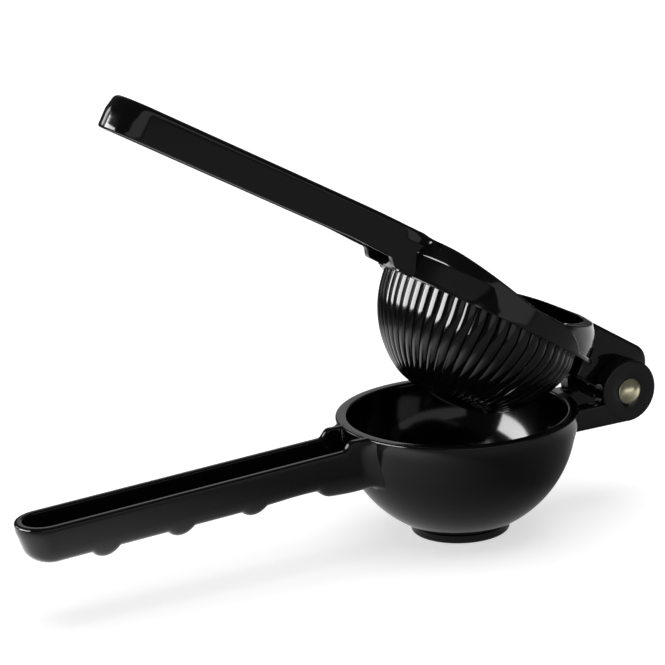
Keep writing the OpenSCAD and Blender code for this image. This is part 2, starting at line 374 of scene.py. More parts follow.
def cap_radius(half, rise):
    """Radius of an arc that rises by rise over half its width."""
    return (half**2 + rise**2) / (2 * rise)


def fillet_out(gap, r):
    """How far a hollow of radius r stands off a wall at a distance from the face it meets."""
    if gap >= r:
        return 0.0
    gap = max(0.0, gap)
    return r - math.sqrt(max(0.0, r * r - (r - gap) ** 2))


def make(name, bm, body, material, place, crease=SMOOTH_UNDER):
    """Makes the bmesh a piece in its place, smooth where its edges bend less than crease."""
    for v in bm.verts:
        v.co = place(*v.co)
    bmesh.ops.recalc_face_normals(bm, faces=bm.faces)
    for f in bm.faces:
        f.smooth = True
    limit = math.radians(crease)
    for e in bm.edges:
        e.smooth = not e.is_manifold or e.calc_face_angle(0.0) < limit
    mesh = bpy.data.meshes.new(name)
    bm.to_mesh(mesh)
    bm.free()
    obj = bpy.data.objects.new(name, mesh)
    bpy.context.scene.collection.objects.link(obj)
    mesh.materials.append(material)
    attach(obj, body)
    return obj


# ---------------------------------------------------------------- finishes


def new_finish(name, colour, grain_scale, low, high):
    """A new material of one colour, its roughness varied by a grain from low to high.

    Returns the material, its shader node and the grain node.
    """
    mat = bpy.data.materials.new(name)
    mat.use_nodes = True
    nt = mat.node_tree
    bsdf = nt.nodes["Principled BSDF"]
    coord = nt.nodes.new("ShaderNodeTexCoord")
    grain = nt.nodes.new("ShaderNodeTexNoise")
    grain.inputs["Scale"].default_value = grain_scale
    rough = nt.nodes.new("ShaderNodeMapRange")
    rough.inputs["To Min"].default_value = low
    rough.inputs["To Max"].default_value = high
    nt.links.new(coord.outputs["Object"], grain.inputs["Vector"])
    nt.links.new(grain.outputs["Fac"], rough.inputs["Value"])
    nt.links.new(rough.outputs["Result"], bsdf.inputs["Roughness"])
    bsdf.inputs["Base Color"].default_value = (*colour, 1.0)
    return mat, bsdf, grain


def black_enamel():
    """Glossy black enamel with the faint waviness of a painted casting."""
    mat = bpy.data.materials.get("black_enamel")
    if mat:
        return mat
    p = bpy.context.scene.squeezer_finish
    rough = p.enamel_roughness
    mat, bsdf, wave = new_finish(
        "black_enamel", p.enamel_colour, 90.0, rough * 0.85, rough * 1.15
    )
    nt = mat.node_tree
    bump = nt.nodes.new("ShaderNodeBump")
    bump.inputs["Strength"].default_value = p.waviness
    bump.inputs["Distance"].default_value = 0.2 * MM
    nt.links.new(wave.outputs["Fac"], bump.inputs["Height"])
    nt.links.new(bump.outputs["Normal"], bsdf.inputs["Normal"])
    bsdf.inputs["Specular IOR Level"].default_value = 0.25
    return mat


def rivet_metal():
    """Pale satin rivet metal."""
    mat = bpy.data.materials.get("rivet_metal")
    if mat:
        return mat
    p = bpy.context.scene.squeezer_finish
    mat, bsdf, _ = new_finish("rivet_metal", p.rivet_colour, 700.0, 0.32, 0.45)
    bsdf.inputs["Metallic"].default_value = 0.6
    return mat


# ---------------------------------------------------------------- shared handle


def channel_rows(depth, web_r):
    """Half of a channel's section, web at the bottom, as (distance out, z, on the inside)."""
    inner = HALF_W - WALL
    web_z = -depth + WEB
    outside = path(
        line((0.0, -depth), (HALF_W - web_r, -depth), 4),
        arc(HALF_W - web_r, -depth + web_r, web_r, -90, 0, 8),
        line((HALF_W, -depth + web_r), (HALF_W, -LIP_R), 8),
        arc(HALF_W - LIP_R, -LIP_R, LIP_R, 0, 90, 4),
    )
    inside = path(
        arc(inner + INNER_LIP_R, -INNER_LIP_R, INNER_LIP_R, 90, 180, 3),
        line((inner, -INNER_LIP_R), (inner, web_z + CORNER_R), 5),
        arc(inner - CORNER_R, web_z + CORNER_R, CORNER_R, 0, -90, 4),
        line((inner - CORNER_R, web_z), (0.0, web_z), 4),
    )
    return [(*p, False) for p in outside] + [(*p, True) for p in inside]


def tray(length, depth, start, web_r, shape):
    """A channel whose section runs out along one side, round the half-round end and back."""
    rows = channel_rows(depth, web_r)
    end = -(length - HALF_W)
    count = max(2, round((start - end) / HANDLE_STEP))
    stations = [(start + (end - start) * k / count, -90.0) for k in range(count + 1)]
    stations += [(end, -90.0 - 180.0 * k / END_STEPS) for k in range(1, END_STEPS + 1)]
    stations += [(end + (start - end) * k / count, -270.0) for k in range(1, count + 1)]

    def point(i, j):
        s, z, inside = rows[i]
        x, a = stations[j]
        a = math.radians(a)
        return shape(x + s * math.cos(a), s * math.sin(a), z, inside)

    return shell(len(rows), len(stations), point)


def roundness(x, length):
    """0 along a handle, rising to 1 at the tip of its half-round end."""
    return clamp((HALF_W - length - x) / HALF_W)


def drooped(x, z, top):
    """x and z of a point of a straight handle, turned down by the droop at its root."""
    c, s = math.cos(DROOP), math.sin(DROOP)
    return ROOT_X + x * c - z * s, top + x * s + z * c


# ---------------------------------------------------------------- lower arm


def bowl_outer_r(z):
    """Radius of the bowl's outside at a height."""
    ball = math.sqrt(max(0.0, BALL_R**2 - (z - BALL_Z) ** 2))
    widening = smooth(RIM_FLARE_Z, RIM_Z - RIM_FLARE_END, z)
    return min(RIM_R, ball + (RIM_R - BALL_R) * widening)


def bowl_reach(y, z):
    """How far along x the bowl's outside stands from its axis, at a value of y and a height."""
    return math.sqrt(max(1.0, bowl_outer_r(z) ** 2 - y * y))


def bowl_profile():
    """Foot, outside, rim, inside and floor of the bowl, as (radius, height)."""
    foot = path(
        [
            (PLATE_R, RECESS_Z),
            (RECESS_R - 0.4, RECESS_Z),
            (RECESS_R, RECESS_Z - 0.4),
            (RECESS_R, 0.3),
            (RECESS_R + 0.3, 0.0),
        ],
        arc(FOOT_R - FOOT_EDGE, FOOT_EDGE, FOOT_EDGE, -90, 0, 5),
        [(NECK_R + 0.1, 2.0), (NECK_R + 0.22, 2.32)],
    )
    wall = []
    z = WALL_START_Z
    while z < RIM_Z - 1.0:
        wall.append((bowl_outer_r(z), z))
        z += 0.12 + 0.03 * (z - 2.0)
    rim = arc(RIM_R - RIM_EDGE, RIM_Z - RIM_EDGE, RIM_EDGE, 0, 90, 6)
    lip_z = RIM_Z - RIM_LIP
    lip_r = math.sqrt(BOWL_IN_R**2 - (lip_z - BALL_Z) ** 2)
    lip = arc(lip_r + RIM_LIP, lip_z, RIM_LIP, 90, 180, 5)
    a0 = math.degrees(math.asin((lip_z - BALL_Z) / BOWL_IN_R))
    a1 = -math.degrees(math.asin((BALL_Z - FLOOR_Z - 0.35) / BOWL_IN_R))
    inside = arc(0.0, BALL_Z, BOWL_IN_R, a0, a1, 70)
    low_r = inside[-1][0]
    floor = [(low_r - 1.2, FLOOR_Z + 0.08), (low_r - 2.2, FLOOR_Z), (PLATE_R, FLOOR_Z)]
    return path(foot, wall, rim, lip, inside, floor)


def add_ring(bm, cx, cy, r, z, steps):
    """The edges of a circle of its own vertices."""
    verts = bmesh.ops.create_circle(bm, segments=steps, radius=r)["verts"]
    bmesh.ops.translate(bm, vec=(cx, cy, z), verts=verts)
    return list({e for v in verts for e in v.link_edges})


def drain_plate(bm, count):
    """Closes the bowl's floor with a plate that has one hole in its centre and a ring of them."""
    spots = [(0.0, 0.0)]
    for k in range(count):
        a = FULL_TURN * (k + 0.5) / count
        spots.append((DRAIN_RING_R * math.cos(a), DRAIN_RING_R * math.sin(a)))
    top = add_ring(bm, 0, 0, PLATE_R, FLOOR_Z, BOWL_STEPS)
    low = add_ring(bm, 0, 0, PLATE_R, RECESS_Z, BOWL_STEPS)
    levels = (
        (DRAIN_EDGE, FLOOR_Z),
        (0.0, FLOOR_Z - DRAIN_EDGE),
        (0.0, RECESS_Z + DRAIN_EDGE),
        (DRAIN_EDGE, RECESS_Z),
    )
    for x, y in spots:
        rings = [add_ring(bm, x, y, DRAIN_R + edge, z, DRAIN_STEPS) for edge, z in levels]
        for a, b in zip(rings, rings[1:]):
            bmesh.ops.bridge_loops(bm, edges=a + b)
        top += rings[0]
        low += rings[-1]
    bmesh.ops.triangle_fill(bm, use_beauty=True, edges=top)
    bmesh.ops.triangle_fill(bm, use_beauty=True, edges=low)
    bmesh.ops.remove_doubles(bm, verts=bm.verts, dist=0.002)


def nub(dx, rise):
    """Height of a round nub that rises by rise, at a distance from its middle."""
    return soft_max(0.0, rise - NUB_R + math.sqrt(NUB_R * NUB_R - dx * dx), NUB_SOFT)


def lower_bump(x):
    """How far the finger bumps stand out below the lower handle, at a distance along it."""
    out = 0.0
    for k, rise in enumerate(BUMP_RISES):
        dx = x - (BUMP_X + BUMP_PITCH * k)
        if abs(dx) < NUB_R:
            out = max(out, nub(dx, rise) - NUB_SINK)
    return out


def lower_root(x):
    """How far the deep root stands out below the lower handle, behind its rounded front."""
    deep = DEEP_ROOT_RISE + DEEP_ROOT_GAIN * smooth(*DEEP_ROOT_GAIN_X, x)
    dx = x - DEEP_ROOT_X
    if dx >= 0:
        return deep
    if dx <= -NUB_R:
        return 0.0
    return nub(dx, deep) * smooth(-NUB_R, -NUB_R + NUB_FADE, dx)


def lower_handle_point(x, y, z, inside):
    """Sloping end, droop, bumps, root and meeting with the bowl, for a point of the channel."""
    x += END_SLOPE * max(0.0, -z - LOWER_SLOPE_FROM) * roundness(x, LOWER_LEN)
    wx, wz = drooped(x, z, LOWER_TOP)
    # the underside: bumps and root, with a slight hollow in front of the root
    low = 0.0 if inside else clamp((-z - (LOWER_DEPTH - UNDER_BAND)) / UNDER_BAND)
    hollow = HOLLOW_H * bell(wx, HOLLOW_X, HOLLOW_W)
    wz -= low * (lower_bump(wx) + lower_root(wx) - hollow)
    # the walls step up to the bowl's rim
    up = smooth(*STEP_UP_X, wx) * smooth(*LIP_BAND, z)
    wz += up * (RIM_Z + PROUD - (LOWER_TOP + x * math.sin(DROOP)))
    if wx <= MEET_X:
        return (wx, y, wz)
    # the last stretch runs on to the bowl's outside, with a hollow along the seam
    t = (wx - MEET_X) / MEET_LEN
    at_rim = wz > RIM_Z - MEET_RIM_H
    reach = MEET_RIM_X if at_rim else -bowl_reach(y, wz) + MEET_SINK
    gap = (1.0 - t) * (reach - MEET_X)
    off = fillet_out(gap, MEET_FLOOR_R)
    wide = fillet_out(gap, MEET_SIDE_R)
    if not at_rim and wide > 0.0:
        if inside:
            if abs(y) > HALF_W - WALL - CORNER_R:
                y -= math.copysign(off, y)
            if z < -LOWER_DEPTH + WEB + CORNER_R:
                wz += off
        else:
            if abs(y) > HALF_W - LOWER_WEB_R and z > -LOWER_DEPTH + 0.5:
                y += math.copysign(wide, y)
            if z < -LOWER_DEPTH + LOWER_WEB_R:
                wz -= off * low
        reach = -bowl_reach(y, wz) + MEET_SINK
    return (MEET_X + t * (reach - MEET_X), y, wz)


def ear_web_section():
    """Rounded section of an ear's web, as (y, z) with y = 0 at the inner face."""
    t = EAR_OUT - EAR_IN - 2 * EAR_WEB_INSET
    z0, z1, r = HINGE_Z - EAR_R + PROUD, EAR_WEB_TOP, EAR_WEB_EDGE
    return path(
        arc(r, z0 + r, r, 180, 270, 5),
        line((r, z0), (t - r, z0), 2),
        arc(t - r, z0 + r, r, 270, 360, 5),
        line((t, z0 + r), (t, z1 - r), 6),
        arc(t - r, z1 - r, r, 0, 90, 5),
        line((t - r, z1), (r, z1), 2),
        arc(r, z1 - r, r, 90, 180, 5),
        line((0.0, z1 - r), (0.0, z0 + r), 6),
    )[:-1]


def ear_web(side):
    """The web that carries one ear, from inside the ear to a hollow against the bowl."""
    section = ear_web_section()
    mid_y = (EAR_IN + EAR_OUT) / 2
    mid_z = (HINGE_Z - EAR_R + EAR_WEB_TOP) / 2

    def point(i, j):
        y, z = section[i]
        y += EAR_IN + EAR_WEB_INSET
        t = 1 - (1 - j / (EAR_WEB_STEPS - 1)) ** 2
        reach = bowl_reach(y, z) - EAR_WEB_SINK
        off = fillet_out((1 - t) * (EAR_WEB_X - reach), EAR_WEB_FILLET)
        out_y = clamp((y - mid_y) / EAR_WEB_FILLET, -1.0)
        out_z = clamp((z - mid_z) / EAR_WEB_HALF_H, -1.0)
        y += off * out_y
        z += off * out_z
        reach = bowl_reach(y, z) - EAR_WEB_SINK
        return (EAR_WEB_X + t * (reach - EAR_WEB_X), side * y, z)

    return shell(len(section), EAR_WEB_STEPS, point, close_rows=True)


def ear_disc(side):
    """The round end of one ear, with rounded edges and the pin's hole."""
    edge_r = EAR_R - EAR_EDGE
    profile = path(
        [(PIN_R, EAR_IN)],
        arc(edge_r, EAR_IN + EAR_EDGE, EAR_EDGE, -90, 0, 6),
        arc(edge_r, EAR_OUT - EAR_EDGE, EAR_EDGE, 0, 90, 6),
        [(PIN_R + 0.3, EAR_OUT), (PIN_R, EAR_OUT - 0.2), (PIN_R, EAR_IN)],
    )
    return turned_y([(r, side * y) for r, y in profile], EAR_STEPS)


# ---------------------------------------------------------------- upper arm


def saddle(x):
    """Height of the cup's rim above the flange's underside, at a distance along the tool."""
    if x > 0.0:
        high = SADDLE_H + soft_max(0.0, HINGE_RISE * (x - SADDLE_FLAT), SADDLE_SOFT)
        return soft_min(high, HINGE_CAP, HINGE_CAP_SOFT)
    high = SADDLE_H + soft_max(0.0, HANDLE_RISE * (-x - SADDLE_FLAT - 0.5), SADDLE_SOFT)
    return soft_min(high, HANDLE_CAP, SADDLE_SOFT) + PEAK_H * bell(x, PEAK_X, PEAK_W)


def barrel_r(h):
    """Radius of the cup's barrel-shaped wall at a height above the flange."""
    if h <= CUP_CURVE_H:
        return CUP_R
    return CUP_R - CUP_CURVE + math.sqrt(max(0.1, CUP_CURVE**2 - (h - CUP_CURVE_H) ** 2))


def skirt_h(x):
    """Height of the skirt above the flange's underside: it falls to the flange near the hinge."""
    full = saddle(x)
    dx = x - SKIRT_X
    if dx <= 0.0:
        return full
    fall = 0.0
    if dx < SKIRT_FALL:
        r = cap_radius(SKIRT_FALL, SADDLE_H)
        fall = SADDLE_H - r + math.sqrt(max(0.0, r * r - dx * dx))
    return max(FLANGE_T, min(full, fall))


def flute(step):
    """Height across one rib, 0 in the sharp groove and 1 on the broad rounded top."""
    u = abs(2.0 * step / FLUTE_STEPS - 1.0)
    return 1.0 - FLUTE_CROWN * u * u if u < FLUTE_TOP else 0.0


def dome_point(i, j):
    """A point of the fluted dome: ring i from the flange to the pole, meridian j."""
    a = FULL_TURN * j / (FLUTES * FLUTE_STEPS)
    deg = DOME_START + (90.0 - DOME_START) * i / DOME_RINGS
    e = math.radians(deg)
    # the flattened pole: a wider ball whose centre lies below the dome's
    oz = -(DOME_R - POLE_FLAT) + POLE_R
    rise = oz * math.sin(e)
    pole = math.sqrt(max(0.0, rise**2 - (oz * oz - POLE_R**2))) - rise
    r = soft_min(DOME_R, pole, POLE_SOFT)
    # the flutes fade out towards the pole and at the flange, and the ball is fuller between
    depth = sum(share * (1 - smooth(a0, a1, deg)) for share, a0, a1 in FLUTE_FADES)
    depth *= smooth(*FLUTE_FROM, deg)
    full = smooth(*DOME_FULLER_FROM, deg)
    r += DOME_FULLER * full - FLUTE_DEPTH * depth * (1 - flute(j % FLUTE_STEPS))
    shift = DOME_SHIFT * full * (1 - smooth(*DOME_SHIFT_TO, deg))
    return (
        shift - r * math.cos(e) * math.cos(a),
        r * math.cos(e) * math.sin(a),
        FLANGE_Z + DOME_RISE - r * math.sin(e),
    )


def undercut(turn, h):
    """How far the cup's wall leans in at a height above the flange's underside.

    It leans in on both sides of the handle, turn degrees round from it, most at the flange.
    """
    deep = UNDERCUT * smooth(*UNDERCUT_FROM, turn) * (1.0 - smooth(*UNDERCUT_TO, turn))
    lean = soft_max(0.0, deep * (1.0 - h / UNDERCUT_H), UNDERCUT_SOFT)
    return lean - UNDERCUT_SOFT / 2


def cup_section(x_dir):
    """The cup wall's section as (radius, height), from the flange's underside to the inner floor.

    x_dir is how far its direction points along x: -1 at the handle, 1 at the hinge.
    """
    turn = math.degrees(math.acos(clamp(-x_dir, -1.0)))
    hinge_side = smooth(-0.05, 0.25, x_dir)

    def inner_r(h):
        barrel = barrel_r(h) if x_dir > -0.1 else CUP_R
        return (CUP_R + (barrel - CUP_R) * hinge_side) - CUP_WALL

    def outer(h):
        return (FLANGE_R - undercut(turn, h), h)

    skirt = skirt_h(FLANGE_R * x_dir)
    top, rim_r = 0.0, FLANGE_R
    for _ in range(6):
        top = max(saddle(rim_r * x_dir), skirt)
        rim_r = barrel_r(top) if x_dir > 0.0 else FLANGE_R
    # the flange's edge and the wall above it, with close stations where the undercut ends
    k = FLANGE_EDGE
    pts = [(DOME_R - 1.0, 0.0), (DOME_R + 0.6, 0.0)]
    pts += arc(outer(k)[0] - k, k, k, -90, 0, 4)
    fold = [UNDERCUT_H + 0.1 * m for m in range(-3, 4)]
    climb = [k + (fold[0] - k) * m / 6 for m in range(1, 6)] + fold
    climb += [fold[-1] + (12.0 - fold[-1]) * m / 5 for m in range(1, 6)]
    wall_top = max(k, skirt - CUP_EDGE - 0.01)
    pts += [outer(min(h, wall_top)) for h in climb]
    edge = pts[-1][0] - CUP_EDGE
    pts += arc(edge, skirt - CUP_EDGE, CUP_EDGE, 0, 90, 4)
    # the ledge up to the barrel's foot, and the barrel's face where it stands above the skirt
    foot_r = max(inner_r(top) + CUP_EDGE + 0.1, min(edge - 0.15, barrel_r(skirt) + 0.35))
    pts.append((foot_r, skirt))
    face_top = top - CUP_EDGE
    if x_dir > 0.0 and face_top > skirt:
        for m in range(11):
            h = skirt + (face_top - skirt) * m / 10
            pts.append((barrel_r(h), h))
        rr = barrel_r(face_top)
        pts += [
            (rr - CUP_EDGE * (1 - math.cos(a)), face_top + CUP_EDGE * math.sin(a))
            for a in (0.4, 0.8, 1.2, 1.57)
        ]
    else:
        pts += [(foot_r - 0.004 * m, skirt) for m in range(11)]
        pts += [(foot_r - 0.044 - 0.004 * m, top) for m in range(4)]
    # the rim's inner edge, the inside and the floor
    pts += [
        (inner_r(top) + CUP_EDGE * (1 - math.sin(a)), top - CUP_EDGE * (1 - math.cos(a)))
        for a in (0.0, 0.5, 1.0, 1.57)
    ]
    for m in range(1, 13):
        h = face_top - (face_top - CUP_WALL - 1.0) * m / 12
        pts.append((inner_r(h), h))
    floor_r = CUP_R - CUP_WALL
    hollow_r = math.sqrt((DOME_R - DOME_WALL) ** 2 - (CUP_WALL - DOME_RISE) ** 2)
    return pts + [
        (floor_r - 0.3, CUP_WALL + 0.3),
        (floor_r - 1.0, CUP_WALL),
        (hollow_r + 0.6, CUP_WALL),
        (hollow_r + 0.1, CUP_WALL - 0.25),
    ]


def cup_wall():
    """Flange, skirt, saddle-shaped rim and the inside of the cup down to the dome's hollow."""
    angles = [FULL_TURN * j / CUP_STEPS for j in range(CUP_STEPS)]
    sections = [cup_section(-math.cos(a)) for a in angles]

    def point(i, j):
        a = angles[j % CUP_STEPS]
        r, h = sections[j % CUP_STEPS][i]
        return (-r * math.cos(a), r * math.sin(a), FLANGE_Z + h)

    return shell(len(sections[0]), CUP_STEPS + 1, point)


def dome_hollow():
    """The ball-shaped hollow behind the dome, open at the cup's floor."""
    r = DOME_R - DOME_WALL
    top = math.degrees(math.asin((CUP_WALL - DOME_RISE - 0.2) / r))
    return lathe(
        [(x, FLANGE_Z + DOME_RISE + z) for x, z in arc(0.0, 0.0, r, top, -90.0, 48)],
        HOLLOW_STEPS,
    )


def upper_handle_point(x, y, z, inside):
    """Droop, step down at the root and flare into the skirt, for a point of the channel."""
    z = -z - UPPER_DEPTH
    x += END_SLOPE * max(0.0, z - UPPER_SLOPE_FROM) * roundness(x, UPPER_LEN)
    wx, wz = drooped(x, z, UPPER_TOP)
    # 0 at the walls' lower edge, and less the higher up
    lip = -z - UPPER_DEPTH
    near_lip = smooth(*LIP_BAND, lip)
    wz -= ROOT_WALLS * smooth(*ROOT_WALLS_X, wx) * smooth(*ROOT_WALLS_BAND, lip)
    # the walls step down beside the cup
    down = smooth(*STEP_DOWN_X, wx) * near_lip
    if lip <= STEP_DOWN_LIP:
        down *= near_lip
    wz += down * (FLANGE_Z + STEP_DOWN_H - wz)
    if wx > FLARE_X and not inside:
        off = FLARE_R - math.sqrt(max(0.0, FLARE_R**2 - (wx - FLARE_X) ** 2))
        y *= 1.0 + off / HALF_W * (1.0 - FLARE_FADE * smooth(*FLARE_BAND, lip))
    # the top stays below the root's level, and below the cup's rim
    if wz > ROOT_TOP - 1.2:
        wz = soft_min(wz, ROOT_TOP, ROOT_SOFT)
    if wx > LID_X:
        lid = FLANGE_Z + saddle(wx) - LID_SINK
        if wz > lid - 0.3:
            wz = soft_min(wz, lid, LID_SOFT)
    return (wx, y, wz)


def plate(outline, y0, y1, k):
    """A flat piece from an outline in x and z, from y0 to y1, its edges rounded by k."""
    n = len(outline)
    rings = []
    for deg in (0.0, 30.0, 60.0, 90.0):
        a = math.radians(deg)
        rings.append((k * (1 - math.sin(a)), k * (1 - math.cos(a))))
    layers = [(i, y0 + d) for i, d in rings] + [(i, y1 - d) for i, d in reversed(rings)]

    def inward(i):
        a, b = outline[i - 1], outline[(i + 1) % n]
        tx, tz = b[0] - a[0], b[1] - a[1]
        length = math.hypot(tx, tz) or 1.0
        return -tz / length, tx / length

    def point(i, j):
        inset, y = layers[j]
        nx, nz = inward(i)
        return (outline[i][0] + nx * inset, y, outline[i][1] + nz * inset)

    bm = shell(n, len(layers), point, close_rows=True)
    bmesh.ops.holes_fill(bm, edges=bm.edges, sides=0)
    return bm


def knuckle_outline():
    """The knuckle seen from the side, anticlockwise with x to the right and z up."""
    r, top, low = KNUCKLE_R, KNUCKLE_TOP, KNUCKLE_LOW
    shelf = FLANGE_Z + PROUD
    right = HINGE_X + r
    heel = math.sqrt(r * r - (low - HINGE_Z) ** 2)
    heel_deg = math.degrees(math.atan2(low - HINGE_Z, -heel)) % 360.0
    top_r, front, front_r = KNUCKLE_TOP_R, KNUCKLE_FRONT, KNUCKLE_FRONT_R
    return path(
        arc(HINGE_X, HINGE_Z, r, heel_deg, 360.0, 26),
        line((right, HINGE_Z), (right, top - top_r), 4),
        arc(right - top_r, top - top_r, top_r, 0, 90, 12),
        line((right - top_r, top), (KNUCKLE_IN, top), 6),
        line((KNUCKLE_IN, top), (KNUCKLE_IN, shelf), 4),
        line((KNUCKLE_IN, shelf), (front, shelf), 4),
        line((front, shelf), (front, low + front_r), 3),
        arc(front + front_r, low + front_r, front_r, 180, 270, 5),
        line((front + front_r, low), (HINGE_X - heel, low), 5),
    )[:-1]


def rivet_profile():
    """The rivet from its domed head to the formed head on the far side, as (radius, y)."""
    head_ball = cap_radius(HEAD_R, HEAD_H)
    head_deg = math.degrees(math.asin(HEAD_R / head_ball))
    tail_ball = cap_radius(TAIL_R, TAIL_H)
    tail_deg = math.degrees(math.asin(TAIL_R / tail_ball))
    head_y = -(EAR_OUT + HEAD_H) + head_ball
    tail_y = EAR_OUT + TAIL_H - tail_ball
    return path(
        arc(0.0, head_y, head_ball, -90, -90 + head_deg - 3.0, 16),
        [(HEAD_R, -EAR_OUT - 0.12), (HEAD_R - 0.06, -EAR_OUT), (PIN_R, -EAR_OUT)],
        [(PIN_R, EAR_OUT), (TAIL_R - 0.06, EAR_OUT), (TAIL_R, EAR_OUT + 0.1)],
        arc(0.0, tail_y, tail_ball, 90 - tail_deg + 3.0, 90, 10),
    )


# ---------------------------------------------------------------- floor, light and camera

WHITE = (1.0, 1.0, 1.0, 1.0)
FLOOR_COLOUR = (0.9, 0.9, 0.9, 1.0)

# Levels on the floor, in metres: centre, radius, the two stops of the fade from 0 at the radius
# to 1 at the centre, and the level at each stop
FLOOR_GLOW = ((0.0, 0.0), 3.0, (0.5, 0.85), (1.0, 0.6))
# Painted reflections: in these patches the floor glows in the gloss though it is no lamp,
# standing in for a lit floor
GLOSS_NEAR = ((0.05, -0.25), 1.0, (0.38, 0.6), (0.05, 0.45))
GLOSS_SIDE = ((0.38, 0.12), 1.0, (0.62, 0.8), (0.0, 1.2))
GLOSS_BACK = ((-0.06, 0.05), 1.0, (0.82, 0.92), (0.0, 2.2))
# Painted shadow: the floor as the gloss sees it is darker under the bowl, standing in for the
# bowl's own shadow
GLOSS_SHADE = ((BOWL_X * MM, 0.0), 0.2, (0.3, 0.8), (1.0, 0.25))

# Strength of the world to the matt surfaces, to the camera and in the gloss
WORLD_LEVELS = (0.3, 1.0, 0.08)

# Lamps: name, azimuth (0 behind the tool, 90 at the hinge's end), elevation, distance, width,
# height, radiance, and whether it lights the matt surfaces or is only seen in the gloss
LAMPS = (
    ("overhead", 0.0, 89.0, 1.2, 1.4, 1.4, 1.3, True),
    ("back_left_box", -40.0, 15.5, 2.5, 1.6, 1.35, 1.2, False),
    ("back_left_card", -29.0, 20.0, 2.5, 0.6, 0.7, 6.0, False),
    ("left_box", -74.0, 15.0, 2.5, 2.2, 1.2, 30.0, False),
    ("back_right_box", 34.0, 15.0, 2.5, 1.6, 0.8, 0.5, False),
    ("front_card", 180.0, 8.0, 1.0, 1.6, 0.42, 1.1, False),
)
LAMP_AIM = Vector((0.0, 0.0, 0.06))

# Camera: where it stands about its aim, the aim in millimetres about the bowl's axis
AZIMUTH = math.radians(27.846)
ELEVATION = math.radians(15.576)
ROLL = math.radians(-2.591)
DISTANCE = 716.2
AIM = (-39.33, 0.0, 65.87)


def floor_level(nt, centre, radius, stops, levels):
    """A level that changes smoothly with the distance from a place on the floor."""
    coord = nt.nodes.new("ShaderNodeTexCoord")
    place = nt.nodes.new("ShaderNodeMapping")
    place.inputs["Location"].default_value = (-centre[0] / radius, -centre[1] / radius, 0.0)
    place.inputs["Scale"].default_value = (1 / radius, 1 / radius, 1.0)
    reach = nt.nodes.new("ShaderNodeTexGradient")
    reach.gradient_type = "SPHERICAL"
    fade = nt.nodes.new("ShaderNodeMapRange")
    fade.interpolation_type = "SMOOTHSTEP"
    names = ("From Min", "From Max", "To Min", "To Max")
    for name, value in zip(names, (*stops, *levels)):
        fade.inputs[name].default_value = value
    nt.links.new(coord.outputs["Object"], place.inputs["Vector"])
    nt.links.new(place.outputs["Vector"], reach.inputs["Vector"])
    nt.links.new(reach.outputs["Fac"], fade.inputs["Value"])
    return fade.outputs["Result"]


def by_ray(nt, matt, camera, gloss):
    """Joins three shaders by what sees them: the matt surfaces, the camera and the gloss."""
    rays = nt.nodes.new("ShaderNodeLightPath")
    joined = matt
    for kind, shader in (("Is Camera Ray", camera), ("Is Glossy Ray", gloss)):
        mix = nt.nodes.new("ShaderNodeMixShader")
        nt.links.new(rays.outputs[kind], mix.inputs["Fac"])
        nt.links.new(joined, mix.inputs[1])
        nt.links.new(shader, mix.inputs[2])
        joined = mix.outputs["Shader"]
    return joined


def pale_floor():
    """White to the camera, with the tool's shadow; the gloss sees glowing patches on a dark
    floor, which are painted reflections, with a painted shadow under the bowl.
    """
    mat = bpy.data.materials.new("pale_floor")
    mat.use_nodes = True
    nt = mat.node_tree
    bsdf = nt.nodes["Principled BSDF"]
    bsdf.inputs["Base Color"].default_value = FLOOR_COLOUR
    bsdf.inputs["Roughness"].default_value = 0.9
    bsdf.inputs["Specular IOR Level"].default_value = 0.0
    glow = nt.nodes.new("ShaderNodeEmission")
    glow.inputs["Color"].default_value = WHITE
    nt.links.new(floor_level(nt, *FLOOR_GLOW), glow.inputs["Strength"])
    lit = nt.nodes.new("ShaderNodeAddShader")
    nt.links.new(bsdf.outputs["BSDF"], lit.inputs[0])
    nt.links.new(glow.outputs["Emission"], lit.inputs[1])
    # Painted reflections: what the gloss sees of the floor glows in patches, darkened under the
    # bowl by a painted shadow
    level = floor_level(nt, *GLOSS_NEAR)
    for operation, patch in (
        ("MAXIMUM", GLOSS_SIDE),
        ("MAXIMUM", GLOSS_BACK),
        ("MULTIPLY", GLOSS_SHADE),
    ):
        joined = nt.nodes.new("ShaderNodeMath")
        joined.operation = operation
        nt.links.new(level, joined.inputs[0])
        nt.links.new(floor_level(nt, *patch), joined.inputs[1])
        level = joined.outputs["Value"]
    seen = nt.nodes.new("ShaderNodeEmission")
    seen.inputs["Color"].default_value = WHITE
    nt.links.new(level, seen.inputs["Strength"])
    surface = by_ray(
        nt, bsdf.outputs["BSDF"], lit.outputs["Shader"], seen.outputs["Emission"]
    )
    nt.links.new(surface, nt.nodes["Material Output"].inputs["Surface"])
    return mat


def build_floor(size):
    """A square floor under the tool."""
    bm = bmesh.new()
    bmesh.ops.create_grid(bm, x_segments=1, y_segments=1, size=size / 2)
    mesh = bpy.data.meshes.new("floor")
    bm.to_mesh(mesh)
    bm.free()
    floor = bpy.data.objects.new("floor", mesh)
    bpy.context.scene.collection.objects.link(floor)
    mesh.materials.append(pale_floor())


def build_world():
    """White behind the scene, low even light on the matt surfaces, nearly dark in the gloss."""
    world = bpy.data.worlds.new("studio")
    bpy.context.scene.world = world
    world.use_nodes = True
    nt = world.node_tree
    nodes = (
        nt.nodes.new("ShaderNodeBackground"),
        nt.nodes["Background"],
        nt.nodes.new("ShaderNodeBackground"),
    )
    for node, strength in zip(nodes, WORLD_LEVELS):
        node.inputs["Color"].default_value = WHITE
        node.inputs["Strength"].default_value = strength
    surface = by_ray(nt, *(node.outputs["Background"] for node in nodes))
    nt.links.new(surface, nt.nodes["World Output"].inputs["Surface"])


